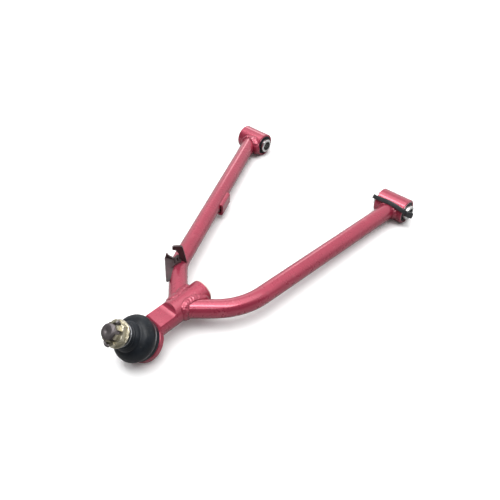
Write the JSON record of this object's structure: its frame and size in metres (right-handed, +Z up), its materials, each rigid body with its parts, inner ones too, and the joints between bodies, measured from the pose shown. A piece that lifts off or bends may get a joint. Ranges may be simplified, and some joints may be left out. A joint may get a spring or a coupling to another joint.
{
  "type": "suspension control arm",
  "caption": "Tubular A-shaped suspension arm: two rubber-bushed pivots, bent tubes welded to a forged knuckle, and a sealed ball joint with a castle nut.",
  "frame": {"origin": "centre of the rear pivot, on the axis of its inner sleeve's bore, halfway between its ends", "axes": "+X along the pivot axis from the rear pivot to the front pivot; -Y out to the ball joint; +Z up, the side the stud leans up from, with the arm lying on its two barrels and the rim of the ball cup"},
  "size_m": [0.226, 0.3282, 0.0519],
  "materials": {
    "arm_paint": "gloss",
    "bead_paint": "gloss",
    "bracket_black": "satin",
    "plug_primer": "satin",
    "sleeve_steel": "satin",
    "stud_steel": "satin",
    "zinc_yellow": "satin",
    "pin_steel": "satin",
    "ring_steel": "satin",
    "shell_steel": "satin",
    "black_rubber": "satin",
    "seat_plastic": "matte"
  },
  "bodies": {
    "arm": {"knuckle": "arm_paint", "rear_arm_tube": "arm_paint", "front_arm_tube": "arm_paint", "rear_pivot_barrel": "arm_paint", "front_pivot_barrel": "arm_paint", "rear_barrel_weld": "bead_paint", "front_barrel_weld": "bead_paint", "rear_yoke_weld": "bead_paint", "front_yoke_weld": "bead_paint", "hose_bracket": "bracket_black", "hose_bracket_weld": "bead_paint", "hose_guide": "arm_paint", "shank_end_plug": "plug_primer", "rear_bush_shell": "shell_steel", "rear_bush_rubber": "black_rubber", "front_bush_shell": "shell_steel", "front_bush_rubber": "black_rubber", "upper_ball_seat": "seat_plastic", "preload_washer": "shell_steel", "cup_cover_plate": "shell_steel", "dust_boot": "black_rubber", "boot_lower_ring": "ring_steel"},
    "lower_seat": {"lower_ball_seat": "seat_plastic"},
    "boot_neck": {"boot_upper_ring": "shell_steel"},
    "stud": {"ball_stud": "stud_steel", "castle_nut": "zinc_yellow", "cotter_pin": "pin_steel"},
    "rear_sleeve": {"rear_inner_sleeve": "sleeve_steel"},
    "front_sleeve": {"front_inner_sleeve": "sleeve_steel"}
  },
  "joints": [
    {"name": "rear_pivot_turn", "type": "hinge", "parent": "arm", "child": "rear_sleeve", "pos_m": [0, 0, 0], "axis": [1, 0, 0], "range_deg": [-25, 25], "stiffness_Nm_per_rad": 20},
    {"name": "front_pivot_turn", "type": "hinge", "parent": "arm", "child": "front_sleeve", "pos_m": [0.188, 0, 0], "axis": [1, 0, 0], "range_deg": [-25, 25], "stiffness_Nm_per_rad": 20},
    {"name": "ball_joint_swing_direction", "type": "hinge", "parent": "arm", "child": "lower_seat", "pos_m": [0.1345, -0.288, 0.009], "axis": [-0.0429, -0.6142, 0.788], "continuous": true},
    {"name": "ball_joint_swing", "type": "hinge", "parent": "lower_seat", "child": "boot_neck", "pos_m": [0.1345, -0.288, 0.009], "axis": [0.9976, -0.0698, 0], "range_deg": [-20, 20], "deforming": ["dust_boot"]},
    {"name": "ball_joint_spin", "type": "hinge", "parent": "boot_neck", "child": "stud", "pos_m": [0.1345, -0.288, 0.009], "axis": [-0.0429, -0.6142, 0.788], "continuous": true}
  ]
}
